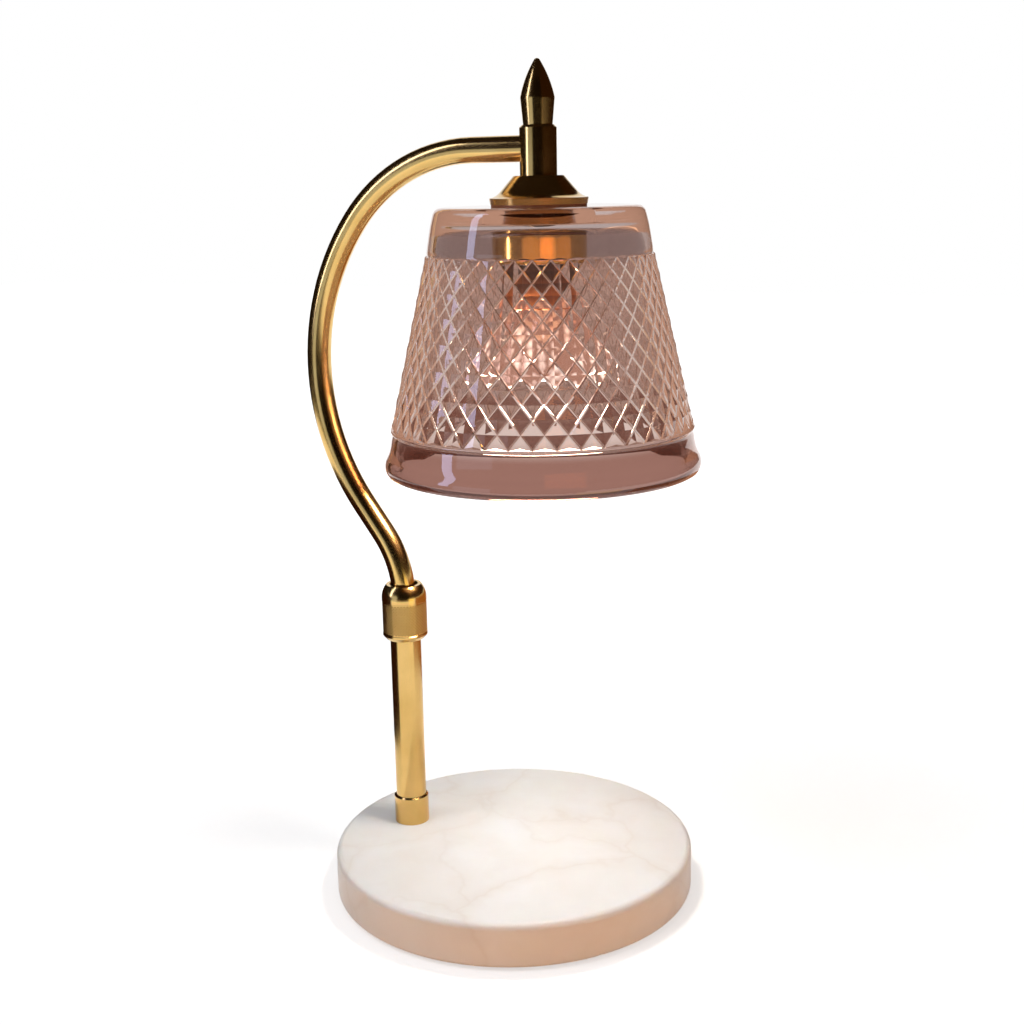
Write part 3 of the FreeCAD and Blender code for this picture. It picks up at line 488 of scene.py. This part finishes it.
def add_diamond(points, faces, lattice, row, index):
    """One diamond between four groove crossings: a steep groove side all round, then a flatter
    four-sided point. At the pattern's ends it is a half diamond."""
    count = 2 * PATTERN_COLUMNS
    corners = [(row, index - 1), (row + 1, index), (row, index + 1), (row - 1, index)]
    kept = [corner for corner in corners if 0 <= corner[0] <= PATTERN_HALF_ROWS]
    middle = lattice_point(row, index)
    size = middle.x / PATTERN_LOW[0]
    at_end = row in (0, PATTERN_HALF_ROWS)
    if at_end:
        edge = 1 if row == 0 else -1
        middle = middle.lerp(lattice_point(row + edge, index), GROOVE_SHARE)
    peak = len(points)
    points.append(on_glass(middle, PYRAMID_HEIGHT * size))
    inset = []
    for corner_row, corner_index in kept:
        place = lattice_point(corner_row, corner_index).lerp(middle, GROOVE_SHARE)
        inset.append(len(points))
        points.append(on_glass(place, GROOVE_HEIGHT * size))
    outer = [lattice[corner_row] + corner_index % count for corner_row, corner_index in kept]
    if at_end:
        on_edge = lattice[row] + index % count
        order = [0, 1, 2] if row == 0 else [1, 2, 0]
        ring_in = [inset[i] for i in order]
        ring_out = [outer[i] for i in order]
        for i in (0, 1):
            faces.append((ring_out[i], ring_out[i + 1], ring_in[i + 1], ring_in[i]))
            faces.append((ring_in[i], ring_in[i + 1], peak))
        faces.append((ring_out[0], ring_in[0], peak))
        faces.append((ring_out[0], peak, on_edge))
        faces.append((ring_out[2], on_edge, peak))
        faces.append((ring_out[2], peak, ring_in[2]))
        return
    for i in range(4):
        after = (i + 1) % 4
        faces.append((outer[i], outer[after], inset[after], inset[i]))
        faces.append((inset[i], inset[after], peak))


def diamond_shade(material):
    """Pressed shade: smooth bands above and below, and between them rows of four-sided points
    that meet in V grooves."""
    count = 2 * PATTERN_COLUMNS
    points = []
    faces = []

    def add_ring(radius, height):
        points.extend(ring_of(radius, height, 2 * count))
        return len(points) - 2 * count

    top_rings = [add_ring(*pair) for pair in SHADE_OUTSIDE_TOP]
    low_rings = [add_ring(*pair) for pair in SHADE_OUTSIDE_LOW + SHADE_INSIDE]
    lattice = []
    for row in range(PATTERN_HALF_ROWS + 1):
        lattice.append(len(points))
        points.extend(on_glass(lattice_point(row, index)) for index in range(count))
    for first, second in zip(top_rings, top_rings[1:]):
        faces.extend(band_between(first, second, 2 * count))
    faces.extend(fine_to_coarse(top_rings[-1], lattice[0], count))
    faces.extend(fine_to_coarse(low_rings[0], lattice[-1], count))
    for first, second in zip(low_rings, low_rings[1:]):
        faces.extend(band_between(first, second, 2 * count))
    faces.extend(band_between(low_rings[-1], top_rings[0], 2 * count))
    smooth_faces = len(faces)
    for row in range(PATTERN_HALF_ROWS + 1):
        for index in range(count):
            if (row + index) % 2 == 0:
                add_diamond(points, faces, lattice, row, index)
    shade = mesh_object("diamond_shade", points, faces, material, False)
    for polygon in shade.data.polygons[:smooth_faces]:
        polygon.use_smooth = True
    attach(shade, "shade")
    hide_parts("glass_shade")
    return shade


def collar_knurl(material):
    """Fine diamond knurl rolled into the collar's grip band, a ring of small pyramids."""
    low = COLLAR_LOW.z + KNURL_LOW * MM
    high = COLLAR_LOW.z + KNURL_HIGH * MM
    count = 2 * KNURL_COLUMNS
    points = []

    def add_circle(radius, height, tooth=0.0, row=0):
        start = len(points)
        for index in range(count):
            angle = 2 * math.pi * index / count
            reach = (radius + (tooth if (row + index) % 2 == 0 else 0.0)) * MM
            points.append((POST_X + reach * math.cos(angle), reach * math.sin(angle), height))
        return start

    rings = []
    for row in range(KNURL_HALF_ROWS + 1):
        tooth = KNURL_TOOTH if 0 < row < KNURL_HALF_ROWS else 0.0
        rings.append(add_circle(KNURL_R, low + (high - low) * row / KNURL_HALF_ROWS, tooth, row))
    faces = pyramid_rows(rings, count)
    inside = [add_circle(KNURL_INNER_R, high), add_circle(KNURL_INNER_R, low)]
    faces.extend(band_between(rings[-1], inside[0], count))
    faces.extend(band_between(inside[0], inside[1], count))
    faces.extend(band_between(inside[1], rings[0], count))
    knurl = mesh_object("collar_knurl", points, faces, material, False)
    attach(knurl, "collar")
    return knurl


def seen_white(tree, background, lit):
    """Mixes a plain white for rays that look at the backdrop, straight or through metal and glass,
    with the shader that receives light."""
    path = add(tree, "ShaderNodeLightPath")
    straight = path.outputs["Is Camera Ray"]
    gloss = path.outputs["Is Glossy Ray"]
    through = path.outputs["Is Transmission Ray"]
    direct = add(tree, "ShaderNodeMath", links={0: straight, 1: gloss}, operation="MAXIMUM")
    seen = add(tree, "ShaderNodeMath", links={0: direct, 1: through}, operation="MAXIMUM")
    return add(tree, "ShaderNodeMixShader", links={0: seen, 1: lit, 2: background})


# The floor's half width, and how far from the lamp its white starts to lift and is fully lifted,
# in metres
FLOOR_REACH = 3.0
WHITE_NEAR = 0.13
WHITE_FAR = 0.55


def make_world():
    world = bpy.data.worlds.new("studio")
    bpy.context.scene.world = world
    world.use_nodes = True
    tree = world.node_tree
    tree.nodes.clear()
    output = add(tree, "ShaderNodeOutputWorld")
    white = add(tree, "ShaderNodeBackground", {"Color": linear("#ffffff"), "Strength": 1.0})
    fill = add(tree, "ShaderNodeBackground", {"Color": linear("#eef0f2"), "Strength": 0.36})
    mix = seen_white(tree, white, fill)
    tree.links.new(mix.outputs[0], output.inputs["Surface"])


def make_floor():
    """Floor that looks white and keeps the lamp's soft shadow. The light that it throws back on the
    lamp is warm, as from a wooden table."""
    corners = [(x * FLOOR_REACH, y * FLOOR_REACH, 0) for x, y in ((-1, -1), (1, -1), (1, 1), (-1, 1))]
    material, tree, output, place = new_material("pale_floor")
    tone = add(tree, "ShaderNodeTexNoise", {"Scale": 1 / 0.4, "Detail": 2.0}, {"Vector": place})
    wood = add(tree, "ShaderNodeValToRGB", links={"Fac": tone},
               stops=[(0.3, "#d49c66"), (0.7, "#daa670")])
    diffuse = add(tree, "ShaderNodeBsdfDiffuse", links={"Color": wood})
    shadow_part = add(tree, "ShaderNodeBsdfDiffuse", {"Color": linear("#dedcda")})
    away = add(tree, "ShaderNodeVectorMath", links={0: place}, operation="LENGTH").outputs["Value"]
    level = add(tree, "ShaderNodeMapRange",
                {"From Min": WHITE_NEAR, "From Max": WHITE_FAR, "To Min": 0.56, "To Max": 0.95},
                {"Value": away})
    white = add(tree, "ShaderNodeEmission", {"Color": linear("#ffffff")}, {"Strength": level})
    both = add(tree, "ShaderNodeAddShader", links={0: shadow_part, 1: white})
    mix = seen_white(tree, both, diffuse)
    tree.links.new(mix.outputs[0], output.inputs["Surface"])
    floor = mesh_object("floor", corners, [(0, 1, 2, 3)], material, False)


def area_light(name, place, target, size, power, colour):
    data = bpy.data.lights.new(name, "AREA")
    data.shape = "RECTANGLE"
    data.size, data.size_y = size
    data.energy = power
    data.color = linear(colour)[:3]
    light = bpy.data.objects.new(name, data)
    light.visible_glossy = False
    place = Vector(place)
    light.location = place
    light.rotation_euler = (Vector(target) - place).to_track_quat("-Z", "Y").to_euler()
    bpy.context.collection.objects.link(light)
    return light


# The tent's room, in metres, and how finely its curved panels are cut
ROOM_REACH = 0.80
ROOM_HEIGHT = 1.2
PANEL_STEPS = 24


def tent_panel(name, turn, height, radius, colour, strength):
    """Curved panel of the tent round the set, from one turn to another in degrees to the right of the
    camera and from one height to another. Only metal and glass see it, as a reflection."""
    material, tree, output, place = new_material(name + "_cloth")
    glow = add(tree, "ShaderNodeEmission", {"Color": linear(colour), "Strength": strength})
    tree.links.new(glow.outputs[0], output.inputs["Surface"])
    points = []
    faces = []
    for index in range(PANEL_STEPS + 1):
        share = index / PANEL_STEPS
        angle = math.radians(CAMERA_AZIMUTH - 90 + turn[0] + (turn[1] - turn[0]) * share)
        for level in height:
            points.append((radius * math.cos(angle), radius * math.sin(angle), level))
    for index in range(PANEL_STEPS):
        faces.append((2 * index, 2 * index + 2, 2 * index + 3, 2 * index + 1))
    panel = mesh_object(name, points, faces, material, False)
    hide_from_all_but_gloss(panel)
    return panel


def hide_from_all_but_gloss(panel):
    panel.visible_camera = False
    panel.visible_diffuse = False
    panel.visible_shadow = False
    panel.visible_transmission = False


def make_tent():
    """Dark room round the set, with a cool window to the left of the camera, and low panels that the
    post and the collar mirror."""
    tent_panel("room_left", (-158, -64), (0.02, ROOM_HEIGHT), ROOM_REACH, "#2a2016", 0.6)
    tent_panel("window", (-64, -36), (0.0, 0.34), ROOM_REACH, "#cfdcf2", 1.0)
    tent_panel("wall_left", (-64, -36), (0.34, ROOM_HEIGHT), ROOM_REACH, "#2a2016", 0.8)
    tent_panel("high_window", (-77, -68), (0.22, 1.15), 0.78, "#ccd4ff", 7.0)
    tent_panel("room_front", (-36, 28), (0.0, ROOM_HEIGHT), ROOM_REACH, "#20180f", 0.6)
    tent_panel("room_right", (28, 158), (0.15, ROOM_HEIGHT), ROOM_REACH, "#38220f", 0.7)
    tent_panel("low_left", (-178, -76), (0.0, 0.13), 0.19, "#3a1c0c", 0.6)
    tent_panel("low_glow", (22, 52), (0.0, 0.13), 0.36, "#fff0b8", 1.7)
    tent_panel("low_right", (60, 170), (0.0, 0.12), 0.24, "#c88444", 0.7)
    corners = ((-1, -1), (1, -1), (1, 1), (-1, 1))
    ceiling = [(x * ROOM_REACH, y * ROOM_REACH, ROOM_HEIGHT) for x, y in corners]
    material, tree, output, place = new_material("ceiling_cloth")
    glow = add(tree, "ShaderNodeEmission", {"Color": linear("#2a2016"), "Strength": 0.8})
    tree.links.new(glow.outputs[0], output.inputs["Surface"])
    hide_from_all_but_gloss(mesh_object("room_ceiling", ceiling, [(0, 1, 2, 3)], material, False))


# How far the lights inside the shade stand from its axis, in metres
GLINT_R = 38 * MM


def make_lights():
    """Studio softboxes from above and in front, the lamp's beam on the base, and the lamp's light
    inside the shade, which falls on the shade ring."""
    middle = (0, 0, 0.17)
    area_light("key_softbox", (-0.6, -0.7, 1.6), middle, (0.7, 0.9), 8.2, "#eaf2ff")
    area_light("fill_softbox", (1.1, -1.3, 0.25), (0, 0, 0.1), (0.9, 0.4), 5.6, "#ffae66")
    lamp = bpy.data.lights.new("lamp_beam", "SPOT")
    lamp.energy = 0.5
    lamp.color = linear("#f0f6ff")[:3]
    lamp.spot_size = math.radians(110)
    lamp.spot_blend = 0.8
    lamp.shadow_soft_size = 0.02
    beam = bpy.data.objects.new("lamp_beam", lamp)
    beam.location = (HEAD_X, 0, LENS_LOW.z - 3 * MM)
    bpy.context.collection.objects.link(beam)
    glints = (("lamp_glint", -64, (2.5, 12), 0.0028, "#fff8f0"),
              ("lamp_leak_left", -18, (21, 14), 0.0010, "#ffd0a4"),
              ("lamp_leak_middle", 14, (21, 14), 0.0013, "#ffcfa0"),
              ("lamp_leak_right", 46, (21, 14), 0.0008, "#ffc898"))
    for name, turn, size, power, colour in glints:
        angle = math.radians(CAMERA_AZIMUTH - 90 + turn)
        height = RING_LOW.z + 5 * MM
        place = (HEAD_X + GLINT_R * math.cos(angle), GLINT_R * math.sin(angle), height)
        sides = (size[0] * MM, size[1] * MM)
        glint = area_light(name, place, (HEAD_X, 0, height), sides, power, colour)
        glint.visible_glossy = True
        glint.visible_camera = False
        glint.visible_transmission = False


make_camera()
finishes = paint_nodes()
diamond_shade(finishes["smoky_glass"])
collar_knurl(knurled_brass())
make_world()
make_floor()
make_tent()
make_lights()
bpy.context.scene.view_settings.view_transform = "Standard"
